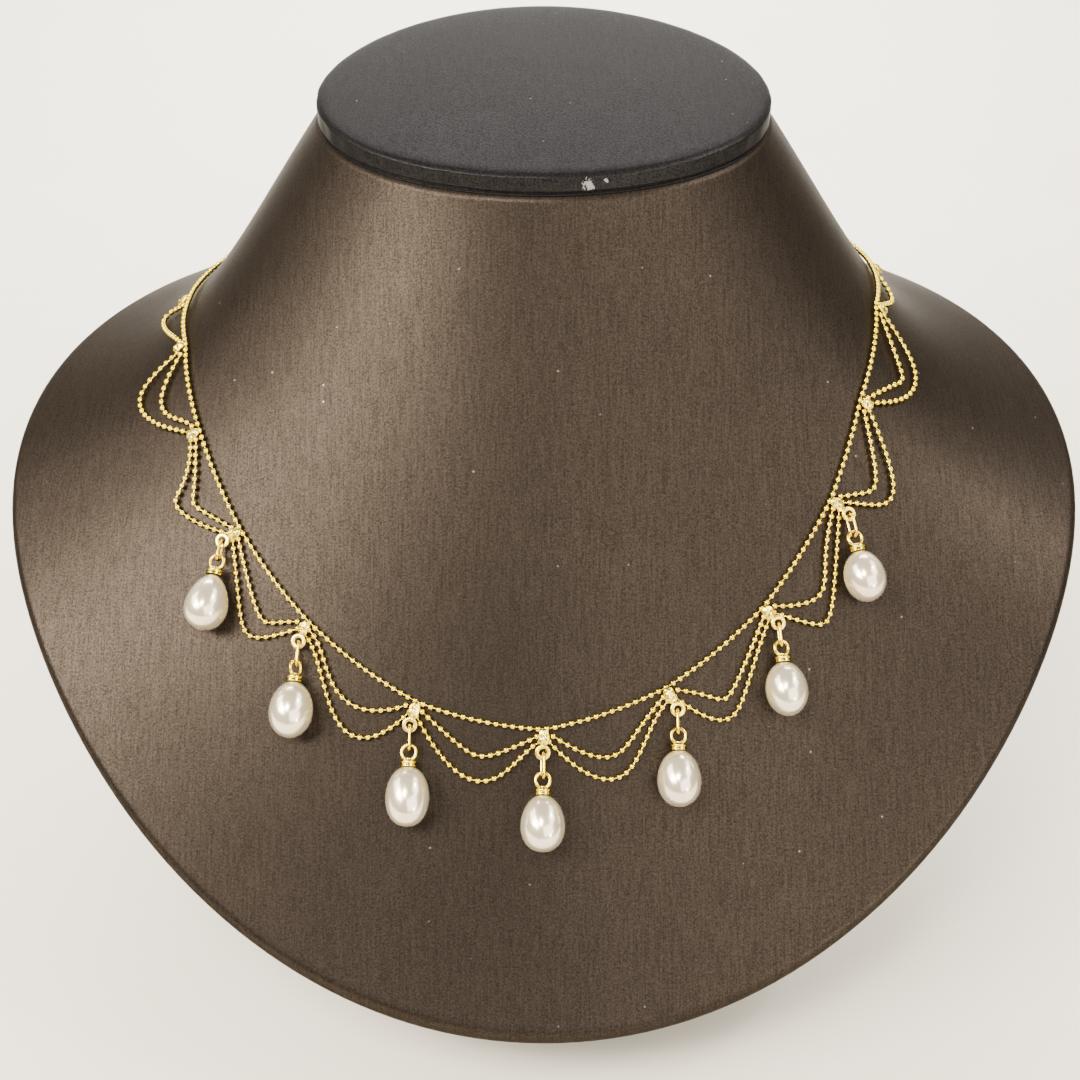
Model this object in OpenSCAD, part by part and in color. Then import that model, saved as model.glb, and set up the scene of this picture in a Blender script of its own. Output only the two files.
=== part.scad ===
// Festoon necklace of fine ball chain with pearl drops, lying on a plain neck bust.
// Millimetres. +Z is up, the bust faces -Y, +X is the viewer's right, and Z = 0 is the table.
// The origin is under the middle of the bust's length and width.
// A place on the bust's skin is an angle and a level: the angle goes round the neck from the front,
// the level runs from 0 at the top of the neck to 1 at the rim.

/* [Neck bust] */
// Height of the middle of the padded cap above the table
cap_height = 146.5; // [135:0.5:160]
// Half width of the neck where it meets the cap
neck_half_w = 41; // [38:0.5:44]
// Half depth of the neck where it meets the cap
neck_half_d = 34.5; // [32:0.5:37]
// Forward tilt of the cap
cap_tilt = 11; // [6:1:14]
// Thickness of the padded cap
cap_t = 4.5; // [3.5:0.5:6]
// Radius of the bust's rounded rim
rim_round = 2.5; // [2:0.25:3]
// Thickness of the flat board that the bust stands on
board_t = 5; // [4:0.5:7]

/* [Chains] */
// Diameter of the beads, and so of each chain's outer form
bead_d = 0.92; // [0.8:0.02:1]
// Distance between neighbouring chains where they are soldered together
lane_w = 1.05; // [1.05:0.01:1.15]
// Clear gap between a chain and the skin under it
chain_gap = 0.25; // [0.2:0.05:0.4]

/* [Drops] */
// Wire of the rings soldered under the chains, and of the loops on the pearl caps
ring_wire = 0.64; // [0.5:0.02:0.7]
// Outer diameter of a soldered ring
ring_d = 2.6; // [2.5:0.05:2.8]
// Wire of the links
link_wire = 0.5; // [0.4:0.02:0.55]
// Outer length of a link
link_l = 4.7; // [4.5:0.1:4.9]
// Outer width of a link
link_w = 2.4; // [2.3:0.05:2.5]
// Diameter of the collar on each pearl
collar_d = 2.8; // [2.6:0.1:3.2]
// Height of that collar
collar_h = 1.2; // [1:0.1:1.4]

/* [Hidden] */
$fn = 48;
gold = [0.86, 0.68, 0.34];
bright_gold = [0.95, 0.86, 0.62];
pearl_white = [0.93, 0.90, 0.86];
bust_brown = [0.33, 0.28, 0.24];

// Bust sections, one every 20 degrees from the front to the back, the same on both sides:
// rim radius from the neck axis, rim height, fall of the skin at the rim, lean of the neck
SECTION_STEP = 20;
RIM_R = 0;
RIM_Z = 1;
RIM_FALL = 2;
NECK_LEAN = 3;
SECTIONS = [
    [107.5, 17, 50, 22],
    [107, 22, 49, 23],
    [108.5, 43, 43, 26],
    [107, 75.5, 31, 31],
    [99, 91.5, 20, 35.5],
    [86, 99, 15, 37],
    [74, 100.5, 30, 30],
    [66.5, 99, 46, 21],
    [61.5, 97, 53, 15],
    [60, 96, 56, 12],
];
// How far the neck and the rim carry their own direction into the curve between them
NECK_PULL = 40;
RIM_PULL = 32;
// Extra width of the neck at the front, less at the back, as a share
NECK_EGG = 0.1;
neck_h = cap_height - cap_t;

// Board under the bust, half width, half depth and how far its middle lies in front of the neck axis
BOARD_HALF_W = 60;
BOARD_HALF_D = 62;
BOARD_AHEAD = 14;
// The underside of the bust bows towards the board: share of the height, and spread of the bow
UNDER_BOW = 0.45;
UNDER_SPREAD = 1.1;

// Facets of the bust's skin, of its rounded rim and of its underside
SKIN_ANGLES = 90;
SKIN_LEVELS = 24;
RIM_STEPS = 4;
UNDER_STEPS = 5;

// Stations where the chains are soldered together, from the viewer's left to right: angle, level,
// and how far the two festoon chains fan out from the main chain's direction before and after it.
// A fan of 0 puts them side by side, at 90 they would follow one another along the main chain.
AT_ANGLE = 0;
AT_LEVEL = 1;
FAN_BEFORE = 2;
FAN_AFTER = 3;
STATIONS = [
    [-83, 0.55, 0, 70],
    [-69.5, 0.51, 0, 55],
    [-55.5, 0.535, 50, 20],
    [-43, 0.565, 35, 20],
    [-30.5, 0.59, 50, 10],
    [-15.3, 0.613, 55, 30],
    [0, 0.62, 25, 40],
    [15, 0.595, 20, 50],
    [29, 0.56, 20, 55],
    [42.5, 0.51, 20, 50],
    [54, 0.45, 35, 35],
    [71, 0.405, 45, 0],
    [85.5, 0.44, 40, 0],
];
LAST_STATION = len(STATIONS) - 1;

// Festoons between neighbouring stations. Each chain is one cubic curve on the skin, and the two
// places that pull it are: first angle, first level, second angle, second level.
// The end spans have one chain, the others an inner and an outer one.
FIRST_ANGLE = 0;
FIRST_LEVEL = 1;
SECOND_ANGLE = 2;
SECOND_LEVEL = 3;
INNER = [
    [-90, 0.8, -73, 0.5],
    [-64, 0.68, -60, 0.54],
    [-47, 0.62, -54, 0.62],
    [-34, 0.65, -37, 0.63],
    [-26, 0.59, -27, 0.69],
    [-6, 0.66, -9, 0.66],
    [10, 0.68, 8, 0.64],
    [24, 0.63, 19, 0.66],
    [40, 0.63, 35, 0.57],
    [50, 0.56, 48, 0.59],
    [67, 0.52, 60, 0.56],
    [75, 0.41, 79, 0.54],
];
OUTER = [
    [],
    [-72, 0.8, -60, 0.58],
    [-49, 0.61, -58, 0.7],
    [-36, 0.67, -39, 0.69],
    [-26, 0.6, -25, 0.76],
    [-6, 0.74, -4, 0.64],
    [11, 0.74, 10, 0.63],
    [24, 0.7, 22, 0.64],
    [38, 0.65, 34, 0.66],
    [49, 0.57, 51, 0.68],
    [58, 0.48, 68, 0.68],
    [],
];

// Main chain behind the neck, angle and level, from the clasp to the first station and on from
// the last station back to the clasp
BACK_LEFT = [
    [-173.5, 0.45], [-165, 0.45], [-150, 0.47], [-135, 0.5],
    [-120, 0.54], [-108, 0.57], [-99, 0.58], [-91, 0.57],
];
BACK_RIGHT = [
    [93, 0.46], [101, 0.46], [110, 0.46], [122, 0.46],
    [136, 0.45], [150, 0.45], [165, 0.45], [173.5, 0.45],
];
CLASP_LEVEL = 0.45;

// Drops from left to right. The pearl: width, length, how much fatter its lower end is, fullness of
// its sides (1 is an ellipse, less is squarer). The drop: sideways swing, twist of its link and of
// its cap, how far out and how far along the chain its ring sits, and how much shorter its link is.
PEARL_W = 0;
PEARL_L = 1;
PEARL_EGG = 2;
PEARL_FULL = 3;
SWING = 4;
LINK_TWIST = 5;
CAP_TWIST = 6;
RING_OUT = 7;
RING_ALONG = 8;
LINK_CUT = 9;
DROPS = [
    [7.3, 9.9, 0.2, 1, -2.5, 8, 4, 2.5, 0, 0.7],
    [7.4, 9.6, 0.06, 1, -4, 22, 62, 2.4, 1.1, 0],
    [7.3, 9.9, 0.04, 0.88, -4, 12, 6, 2.9, 0.4, 0],
    [7.4, 9.4, 0.1, 0.95, 0, 14, 0, 2.8, -0.4, 0],
    [7.35, 9.4, 0.08, 0.95, 5, -14, -4, 3, 0, 0.1],
    [7.2, 9.2, 0.04, 1, 3, -8, 6, 2.55, -0.3, 0.2],
    [7.2, 9, 0.05, 1, 3, 10, -6, 2.75, -0.8, 0.1],
];
FIRST_DROP = 3;
DRILL_D = 0.9;
PEG_D = 0.7;
PEG_L = 2.6;
DRILL_L = 3;
// Least gap kept between neighbouring pieces, and between a link and the wire inside its bend
FIT = 0.12;
LINK_FIT = 0.35;

// Solder plates: thickness, width along the chain, reach inwards and outwards from the station,
// and width of the tongue that carries a ring
PLATE_T = 0.5;
PLATE_W = 1.5;
PLATE_IN = 1.1;
PLATE_OUT = 1.5;
TONGUE_W = 1;

// Clasp: a plain spring ring with a cup for each end of the chain
CLASP_RING_D = 6;
CLASP_WIRE = 1.3;
CUP_D = 1.5;
CUP_REACH = 4.9;

// Swept chains: sides of the tubes, longest step between the main chain's rings in millimetres,
// and number of rings in a festoon chain
CHAIN_SIDES = 8;
MAIN_STEP = 9;
STRAND_RINGS = 13;

chain_h = chain_gap + bead_d / 2;
plate_h = chain_h + bead_d / 2 + FIT + PLATE_T / 2;
ring_h = plate_h + 0.1;
ring_r = (ring_d - ring_wire) / 2;
// The cap's loop is a stretched ring: half its inner width and the straight length in its sides
LOOP_IN_R = 0.87;
LOOP_STRETCH = 0.1;
loop_r = LOOP_IN_R + ring_wire / 2;
link_bend_r = (link_w - link_wire) / 2;

// Distances of drop n down its axis from the middle of its ring
function link_inner_l(n) = link_l - DROPS[n][LINK_CUT] - 2 * link_wire;
function link_mid(n) = ring_r - ring_wire / 2 - LINK_FIT + link_inner_l(n) / 2;
function loop_mid(n) =
    link_mid(n) + link_inner_l(n) / 2 - LINK_FIT - ring_wire / 2 + loop_r + LOOP_STRETCH / 2;
function collar_top(n) = loop_mid(n) + LOOP_STRETCH / 2 + loop_r;
function pearl_top(n) = collar_top(n) + collar_h - 0.1;

// The bust's front and back reach from the neck axis set where that axis stands
front_reach = around(RIM_R, 0) + rim_round * (1 - sin(around(RIM_FALL, 0)));
back_reach = around(RIM_R, 180) + rim_round * (1 - sin(around(RIM_FALL, 180)));
neck_y = (front_reach - back_reach) / 2;

function unit(v) = v / norm(v);
function flat(lists) = [for (part = lists) for (item = part) item];
function mix(a, b, s) = a + s * (b - a);

// Value of one column of SECTIONS at any angle: a uniform cubic B-spline, mirrored at front and back
function section_row(i) = let(n = 360 / SECTION_STEP, j = ((i % n) + n) % n) min(j, n - j);
function around(col, a) =
    let(
        q = a / SECTION_STEP,
        i = floor(q),
        f = q - i,
        w = [
            pow(1 - f, 3),
            3 * pow(f, 3) - 6 * f * f + 4,
            -3 * pow(f, 3) + 3 * f * f + 3 * f + 1,
            pow(f, 3),
        ]
    )
    (w[0] * SECTIONS[section_row(i - 1)][col] + w[1] * SECTIONS[section_row(i)][col]
    + w[2] * SECTIONS[section_row(i + 1)][col] + w[3] * SECTIONS[section_row(i + 2)][col]) / 6;

function out_dir(a) = [sin(a), -cos(a), 0];
function neck_ring(a, inset = 0) = [
    (neck_half_w - inset) * sin(a) * (1 + NECK_EGG * cos(a)),
    -(neck_half_d - inset) * cos(a),
];
function tilt_rise(xy) = tan(cap_tilt) * xy[1];
function neck_axis() = [0, neck_y, 0];

// The skin: for each angle one cubic Bezier from the neck's top to the rim
function rim_point(a) = around(RIM_R, a) * out_dir(a) + [0, 0, around(RIM_Z, a)];
function skin(a, t) =
    let(
        top = neck_ring(a),
        p0 = [top[0], top[1], neck_h + tilt_rise(top)],
        p3 = rim_point(a),
        lean = around(NECK_LEAN, a),
        fall = around(RIM_FALL, a),
        p1 = p0 + NECK_PULL * (sin(lean) * out_dir(a) - [0, 0, cos(lean)]),
        p2 = p3 - RIM_PULL * (cos(fall) * out_dir(a) - [0, 0, sin(fall)])
    )
    neck_axis() + cubic(p0, p1, p2, p3, t);
function cubic(p0, p1, p2, p3, t) =
    pow(1 - t, 3) * p0 + 3 * t * pow(1 - t, 2) * p1 + 3 * t * t * (1 - t) * p2 + pow(t, 3) * p3;

SMALL = 0.001;
function along_angle(a, t) = (skin(a + SMALL, t) - skin(a - SMALL, t)) / (2 * SMALL);
function along_level(a, t) = (skin(a, t + SMALL) - skin(a, t - SMALL)) / (2 * SMALL);
function skin_normal(a, t) = unit(cross(along_level(a, t), along_angle(a, t)));
function above_skin(place, h) = skin(place[0], place[1]) + h * skin_normal(place[0], place[1]);

// The place reached from another place by a short step v in the skin's tangent plane
function step_on_skin(place, v) =
    let(
        da = along_angle(place[0], place[1]),
        dt = along_level(place[0], place[1]),
        aa = da * da,
        at = da * dt,
        tt = dt * dt,
        det = aa * tt - at * at,
        va = da * v,
        vt = dt * v
    )
    place + [(va * tt - vt * at) / det, (vt * aa - va * at) / det];

// Frame of a station: along the chain to the viewer's right, outwards from the neck, off the skin
function station_place(i) = [STATIONS[i][AT_ANGLE], STATIONS[i][AT_LEVEL]];
function station_up(i) = skin_normal(station_place(i)[0], station_place(i)[1]);
function station_along(i) =
    let(
        before = above_skin(station_place(max(i - 1, 0)), chain_h),
        after = above_skin(station_place(min(i + 1, LAST_STATION)), chain_h),
        up = station_up(i),
        run = after - before
    )
    unit(run - (run * up) * up);
function station_out(i) = cross(station_along(i), station_up(i));

// The main chain passes each station one lane further in
function main_place(i, ahead) =
    step_on_skin(station_place(i), ahead * station_along(i) - lane_w * station_out(i));
MAIN_ROUTE = concat(
    BACK_LEFT,
    flat([for (i = [0:LAST_STATION]) [main_place(i, -PLATE_W / 2), main_place(i, PLATE_W / 2)]]),
    BACK_RIGHT
);

// Where a festoon chain of one side of a station begins: side 1 is after it, -1 before it.
// The fan sets which of the two chains lies further along, with FIT between the two sides.
function inner_end(i, side) =
    let(fan = STATIONS[i][side < 0 ? FAN_BEFORE : FAN_AFTER])
    step_on_skin(
        station_place(i),
        side * (FIT + (bead_d / 2 + lane_w) * sin(fan)) * station_along(i)
    );
function outer_end(i, side) =
    let(fan = STATIONS[i][side < 0 ? FAN_BEFORE : FAN_AFTER])
    step_on_skin(
        station_place(i),
        side * (FIT + bead_d / 2 * sin(fan)) * station_along(i) + lane_w * cos(fan) * station_out(i)
    );

// A route of places with each stretch cut into equal steps of at most MAIN_STEP millimetres
function fine_route(route) = concat(
    [route[0]],
    flat([
        for (i = [1:len(route) - 1])
            let(
                reach = norm(above_skin(route[i], 0) - above_skin(route[i - 1], 0)),
                steps = ceil(reach / MAIN_STEP)
            )
            [for (k = [1:steps]) mix(route[i - 1], route[i], k / steps)]
    ])
);

// A round tube of the chain's outer form along a list of places, held at chain height off the skin
module chain_tube(places) {
    centres = [for (p = places) above_skin(p, chain_h)];
    last = len(places) - 1;
    points = flat([
        for (k = [0:last])
            let(
                run = unit(centres[min(k + 1, last)] - centres[max(k - 1, 0)]),
                off = skin_normal(places[k][0], places[k][1]),
                up = unit(off - (off * run) * run),
                side = cross(run, up)
            )
            [
                for (n = [0:CHAIN_SIDES - 1])
                    let(turn = (n + 0.5) * 360 / CHAIN_SIDES)
                    centres[k] + bead_d / 2 * (cos(turn) * up + sin(turn) * side)
            ]
    ]);
    polyhedron(points, tube_faces(last, CHAIN_SIDES));
}

function tube_faces(last, sides) = concat(
    [[for (n = [0:sides - 1]) n]],
    [
        for (k = [0:last - 1])
            for (n = [0:sides - 1])
                let(m = (n + 1) % sides)
                [k * sides + n, (k + 1) * sides + n, (k + 1) * sides + m, k * sides + m]
    ],
    [[for (n = [sides - 1:-1:0]) last * sides + n]]
);

module main_chain() {
    color(gold) chain_tube(fine_route(MAIN_ROUTE));
}

// One festoon chain between two ends, drawn by its two pulls
function strand_places(start, pull, end) =
    let(
        first = [pull[FIRST_ANGLE], pull[FIRST_LEVEL]],
        second = [pull[SECOND_ANGLE], pull[SECOND_LEVEL]]
    )
    [for (k = [0:STRAND_RINGS - 1]) cubic(start, first, second, end, k / (STRAND_RINGS - 1))];

module festoon(i) {
    color(gold) {
        chain_tube(strand_places(inner_end(i, 1), INNER[i], inner_end(i + 1, -1)));
        if (len(OUTER[i]) > 0)
            chain_tube(strand_places(outer_end(i, 1), OUTER[i], outer_end(i + 1, -1)));
    }
}

// Places a piece at a point with its own X, Y and Z directions
module framed(at, x, y, z) {
    multmatrix([
        [x[0], y[0], z[0], at[0]],
        [x[1], y[1], z[1], at[1]],
        [x[2], y[2], z[2], at[2]],
        [0, 0, 0, 1],
    ]) children();
}

// In a station's frame X runs along the chain, Y inwards to the neck and Z off the skin
module at_station(i) {
    framed(
        above_skin(station_place(i), 0),
        station_along(i), -station_out(i), station_up(i)
    ) children();
}

module plate(out_reach) {
    translate([0, 0, plate_h - PLATE_T / 2]) {
        translate([-PLATE_W / 2, -out_reach + PLATE_W / 2, 0])
            cube([PLATE_W, PLATE_IN + out_reach - PLATE_W, PLATE_T]);
        translate([0, PLATE_IN - PLATE_W / 2, 0]) cylinder(d = PLATE_W, h = PLATE_T);
        translate([0, -out_reach + PLATE_W / 2, 0]) cylinder(d = PLATE_W, h = PLATE_T);
    }
}

module ring(mid_r, wire) {
    rotate_extrude() translate([mid_r, 0]) circle(d = wire, $fn = 24);
}

// A station without a pearl is only the solder plate over the chains
module solder_joint(i) {
    color(bright_gold) at_station(i) plate(PLATE_OUT);
}

// A pearl station's plate reaches to its ring, and a round tongue joins the two
module ring_station(n) {
    reach = max(PLATE_OUT, DROPS[n][RING_OUT] - ring_r);
    middle = [DROPS[n][RING_ALONG], -DROPS[n][RING_OUT], 0];
    plate_end = [0, PLATE_W / 2 - reach, 0];
    tongue_r = ring_r - ring_wire / 2 + TONGUE_W / 2;
    color(bright_gold) at_station(FIRST_DROP + n) {
        plate(reach);
        translate(middle + tongue_r * unit(plate_end - middle) + [0, 0, plate_h - PLATE_T / 2])
            cylinder(d = TONGUE_W, h = PLATE_T);
        translate(middle + [0, 0, ring_h]) ring(ring_r, ring_wire);
    }
}

// A drop hangs down the slope of the skin from its ring, turned by its swing, and leans off the
// skin just enough for the pearl to rest on it
function ring_centre(n) =
    above_skin(station_place(FIRST_DROP + n), ring_h)
    + DROPS[n][RING_OUT] * station_out(FIRST_DROP + n)
    + DROPS[n][RING_ALONG] * station_along(FIRST_DROP + n);
function slope_dir(up) = unit([0, 0, -1] + up[2] * up);
function hang_dir(n) =
    let(
        up = station_up(FIRST_DROP + n),
        down = slope_dir(up),
        side = cross(up, down),
        turn = DROPS[n][SWING]
    )
    cos(turn) * down - sin(turn) * side;
REST_GAP = 0.3;
function drop_lean(n) =
    asin((DROPS[n][PEARL_W] / 2 + REST_GAP - ring_h) / (pearl_top(n) + DROPS[n][PEARL_L] / 2));
function drop_axis(n) = cos(drop_lean(n)) * hang_dir(n) + sin(drop_lean(n)) * station_up(FIRST_DROP + n);

// In a drop's frame Z runs up its axis to the ring, Y faces off the skin and X is to the side
module at_drop(n, down, twist) {
    axis = drop_axis(n);
    up = station_up(FIRST_DROP + n);
    face = unit(up - (up * axis) * axis);
    framed(ring_centre(n) + down * axis, cross(face, -axis), face, -axis) rotate([0, 0, twist]) children();
}

// A flat oval of round wire in the XZ plane: two half rings joined by straight sides
module wire_oval(bend_r, straight, wire) {
    for (end = [0, 1])
        mirror([0, 0, end]) translate([0, 0, straight / 2]) rotate([90, 0, 0])
            rotate_extrude(angle = 180) translate([bend_r, 0]) circle(d = wire, $fn = 24);
    for (side = [-1, 1])
        translate([side * bend_r, 0, -straight / 2]) cylinder(d = wire, h = straight, $fn = 24);
}

module link(n) {
    color(gold) at_drop(n, link_mid(n), 90 + DROPS[n][LINK_TWIST])
        wire_oval(link_bend_r, link_l - DROPS[n][LINK_CUT] - link_w, link_wire);
}

// The pearl's cap: a loop on a collar whose hollow underside covers the pearl's tip, with a peg
module pearl_cap(n) {
    color(gold) {
        at_drop(n, loop_mid(n), DROPS[n][CAP_TWIST]) wire_oval(loop_r, LOOP_STRETCH, ring_wire);
        at_drop(n, collar_top(n) + collar_h, 0) {
            difference() {
                union() {
                    cylinder(d = collar_d, h = collar_h * 0.7);
                    translate([0, 0, collar_h * 0.7])
                        cylinder(d1 = collar_d, d2 = collar_d * 0.55, h = collar_h * 0.3);
                    cylinder(d = collar_d * 0.5, h = collar_h + ring_wire / 2);
                }
                translate([0, 0, -SMALL]) cylinder(d1 = collar_d - 0.4, d2 = PEG_D, h = 0.34);
            }
            translate([0, 0, -PEG_L]) cylinder(d = PEG_D, h = PEG_L + collar_h / 2, $fn = 24);
        }
    }
}

// Half outline of a pearl hanging from its tip: an ellipse that is fuller towards the lower end
PEARL_STEPS = 20;
function pearl_outline(n) =
    let(
        w = DROPS[n][PEARL_W],
        l = DROPS[n][PEARL_L],
        egg = DROPS[n][PEARL_EGG],
        full = DROPS[n][PEARL_FULL]
    )
    [
        for (k = [0:PEARL_STEPS])
            let(turn = 180 * k / PEARL_STEPS, swell = pow(sin(turn), full) * (1 - egg * cos(turn)))
            [k == 0 || k == PEARL_STEPS ? 0 : w / 2 * swell, l / 2 * (cos(turn) - 1)]
    ];

module pearl(n) {
    color(pearl_white) at_drop(n, pearl_top(n), 0) difference() {
        rotate_extrude() polygon(pearl_outline(n));
        translate([0, 0, -DRILL_L]) cylinder(d = DRILL_D, h = DRILL_L + 1, $fn = 24);
    }
}

// The clasp lies against the back of the neck with its cups facing the chain's two ends
CLASP_PLACE = [180, CLASP_LEVEL];
module clasp() {
    up = skin_normal(CLASP_PLACE[0], CLASP_PLACE[1]);
    side = unit(along_angle(CLASP_PLACE[0], CLASP_PLACE[1]));
    color(gold) framed(above_skin(CLASP_PLACE, chain_gap + CLASP_WIRE / 2), side, cross(up, side), up) {
        ring((CLASP_RING_D - CLASP_WIRE) / 2, CLASP_WIRE);
        for (end = [-1, 1])
            rotate([0, end * 90, 0]) translate([0, 0, CLASP_RING_D / 2 - CLASP_WIRE / 2])
                cylinder(d = CUP_D, h = CUP_REACH - CLASP_RING_D / 2 + CLASP_WIRE / 2);
    }
}

// Bust below the rim: a rounded edge, then an underside that bows in to the board
function board_point(a) =
    [BOARD_HALF_W * sin(a), -BOARD_HALF_D * cos(a) - BOARD_AHEAD, board_t + FIT];
function bow_point(a) =
    let(b = board_point(a))
    [UNDER_SPREAD * b[0], UNDER_SPREAD * b[1], mix(board_t, around(RIM_Z, a), UNDER_BOW)];
function rim_edge(a, turn) =
    let(
        fall = around(RIM_FALL, a),
        centre = rim_point(a) - rim_round * (sin(fall) * out_dir(a) + [0, 0, cos(fall)])
    )
    centre + rim_round * (cos(turn) * out_dir(a) + [0, 0, sin(turn)]);
function rim_end_turn(a) =
    let(r = rim_point(a), b = bow_point(a))
    -atan2(norm([r[0], r[1]]) - norm([b[0], b[1]]), max(r[2] - b[2], 1));
function bust_column(a) =
    let(start = 90 - around(RIM_FALL, a), end = rim_end_turn(a), lip = rim_edge(a, end))
    concat(
        [for (k = [0:SKIN_LEVELS]) skin(a, k / SKIN_LEVELS)],
        [for (k = [1:RIM_STEPS]) neck_axis() + rim_edge(a, mix(start, end, k / RIM_STEPS))],
        [
            for (k = [1:UNDER_STEPS])
                let(s = k / UNDER_STEPS)
                neck_axis() + pow(1 - s, 2) * lip + 2 * s * (1 - s) * bow_point(a) + s * s * board_point(a)
        ]
    );

module lofted(columns) {
    rings = len(columns[0]);
    n = len(columns);
    faces = concat(
        [[for (i = [0:n - 1]) i * rings]],
        [
            for (i = [0:n - 1])
                for (k = [0:rings - 2])
                    let(j = (i + 1) % n)
                    [i * rings + k, i * rings + k + 1, j * rings + k + 1, j * rings + k]
        ],
        [[for (i = [n - 1:-1:0]) i * rings + rings - 1]]
    );
    polyhedron(flat(columns), faces);
}

module bust_body() {
    color(bust_brown) lofted([for (i = [0:SKIN_ANGLES - 1]) bust_column(-i * 360 / SKIN_ANGLES)]);
}

// Padded cap, from its seat on the neck over the round lip to the crown: inset and height,
// in shares of the cap's thickness
CAP_PROFILE = [
    [0.5, 0.03], [0.08, 0.2], [-0.12, 0.5], [0, 0.78],
    [0.35, 0.97], [1.2, 1.06], [3, 1.12], [5.5, 1.14],
];
CAP_ANGLES = 72;
module neck_cap() {
    color(bust_brown) lofted([
        for (i = [0:CAP_ANGLES - 1])
            let(a = -i * 360 / CAP_ANGLES)
            [
                for (row = CAP_PROFILE)
                    let(xy = neck_ring(a, row[0] * cap_t))
                    neck_axis() + [xy[0], xy[1], neck_h + tilt_rise(xy) + row[1] * cap_t]
            ]
    ]);
}

module base_board() {
    color(bust_brown) translate([0, neck_y - BOARD_AHEAD, 0]) linear_extrude(board_t)
        polygon([
            for (i = [0:SKIN_ANGLES - 1])
                let(a = i * 360 / SKIN_ANGLES)
                [BOARD_HALF_W * sin(a), -BOARD_HALF_D * cos(a)]
        ]);
}

bust_body();
neck_cap();
base_board();
main_chain();
clasp();
for (i = [0:11])
    festoon(i);
PLAIN_STATIONS = [0, 1, 2, 10, 11, 12];
for (i = [0:5])
    solder_joint(PLAIN_STATIONS[i]);
for (n = [0:6]) {
    ring_station(n);
    link(n);
    pearl_cap(n);
    pearl(n);
}
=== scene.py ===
"""Looks of a layered ball-chain necklace with pearl drops, worn on a covered neck bust.

All shapes are worked out in millimetres, in the part's own frame, and go into the meshes in metres.
A place on the bust's skin is an angle round the neck, in degrees from the front, and a level from
0 at the top of the neck to 1 at the rim. A closed surface is three arrays: points, quads, triangles.
"""

import math

import bpy
import numpy as np
from mathutils import Matrix


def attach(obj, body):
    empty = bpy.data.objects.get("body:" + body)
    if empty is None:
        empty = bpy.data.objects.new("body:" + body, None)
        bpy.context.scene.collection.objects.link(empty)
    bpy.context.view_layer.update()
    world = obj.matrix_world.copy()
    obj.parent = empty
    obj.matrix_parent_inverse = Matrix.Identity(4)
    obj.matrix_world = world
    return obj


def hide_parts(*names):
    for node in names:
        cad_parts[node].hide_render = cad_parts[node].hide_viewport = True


MM = 0.001
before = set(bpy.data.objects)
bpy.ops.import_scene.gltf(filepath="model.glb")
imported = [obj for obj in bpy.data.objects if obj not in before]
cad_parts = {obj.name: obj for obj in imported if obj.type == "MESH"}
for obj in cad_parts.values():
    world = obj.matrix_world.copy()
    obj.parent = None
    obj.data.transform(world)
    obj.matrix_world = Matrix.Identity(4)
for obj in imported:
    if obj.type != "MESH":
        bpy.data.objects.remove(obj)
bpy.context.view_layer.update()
chance = np.random.default_rng(7)

# Sizes, the same as the solids', in millimetres and degrees
CAP_HEIGHT, CAP_T, CAP_TILT = 146.5, 4.5, 11
NECK_HALF_W, NECK_HALF_D, NECK_EGG = 41, 34.5, 0.1
NECK_PULL, RIM_PULL, RIM_ROUND = 40, 32, 2.5
BOARD_T, BOARD_HALF_W, BOARD_HALF_D, BOARD_AHEAD = 5, 60, 62, 14
UNDER_BOW, UNDER_SPREAD = 0.45, 1.1
FIT = 0.12
BEAD_D, LANE_W, CHAIN_GAP = 0.92, 1.05, 0.25
RING_WIRE, RING_D = 0.64, 2.6
LINK_WIRE, LINK_L, LINK_W, LINK_FIT = 0.5, 4.7, 2.4, 0.35
COLLAR_D, COLLAR_H = 2.8, 1.2
LOOP_IN_R, LOOP_STRETCH = 0.87, 0.1
PLATE_T, PLATE_W, PLATE_IN, PLATE_OUT = 0.5, 1.5, 1.1, 1.5
RING_LIFT, PEARL_SEAT, REST_GAP = 0.1, 0.1, 0.3
CLASP_RING_D, CLASP_WIRE, CUP_D, CUP_REACH, CLASP_LEVEL = 6, 1.3, 1.5, 4.9, 0.45

# Degrees between the sections of the skin, which run from the front to the back
SECTION_STEP = 20
# Rim radius, rim height, fall of the skin at the rim, lean of the neck
SECTIONS = np.array([
    [107.5, 17, 50, 22],
    [107, 22, 49, 23],
    [108.5, 43, 43, 26],
    [107, 75.5, 31, 31],
    [99, 91.5, 20, 35.5],
    [86, 99, 15, 37],
    [74, 100.5, 30, 30],
    [66.5, 99, 46, 21],
    [61.5, 97, 53, 15],
    [60, 96, 56, 12],
])
RIM_R, RIM_Z, RIM_FALL, NECK_LEAN = range(4)

# Angle, level, fan of the festoons before and after the station
STATIONS = np.array([
    [-83, 0.55, 0, 70],
    [-69.5, 0.51, 0, 55],
    [-55.5, 0.535, 50, 20],
    [-43, 0.565, 35, 20],
    [-30.5, 0.59, 50, 10],
    [-15.3, 0.613, 55, 30],
    [0, 0.62, 25, 40],
    [15, 0.595, 20, 50],
    [29, 0.56, 20, 55],
    [42.5, 0.51, 20, 50],
    [54, 0.45, 35, 35],
    [71, 0.405, 45, 0],
    [85.5, 0.44, 40, 0],
])
FIRST_DROP = 3
PLAIN_STATIONS = [0, 1, 2, 10, 11, 12]

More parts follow.
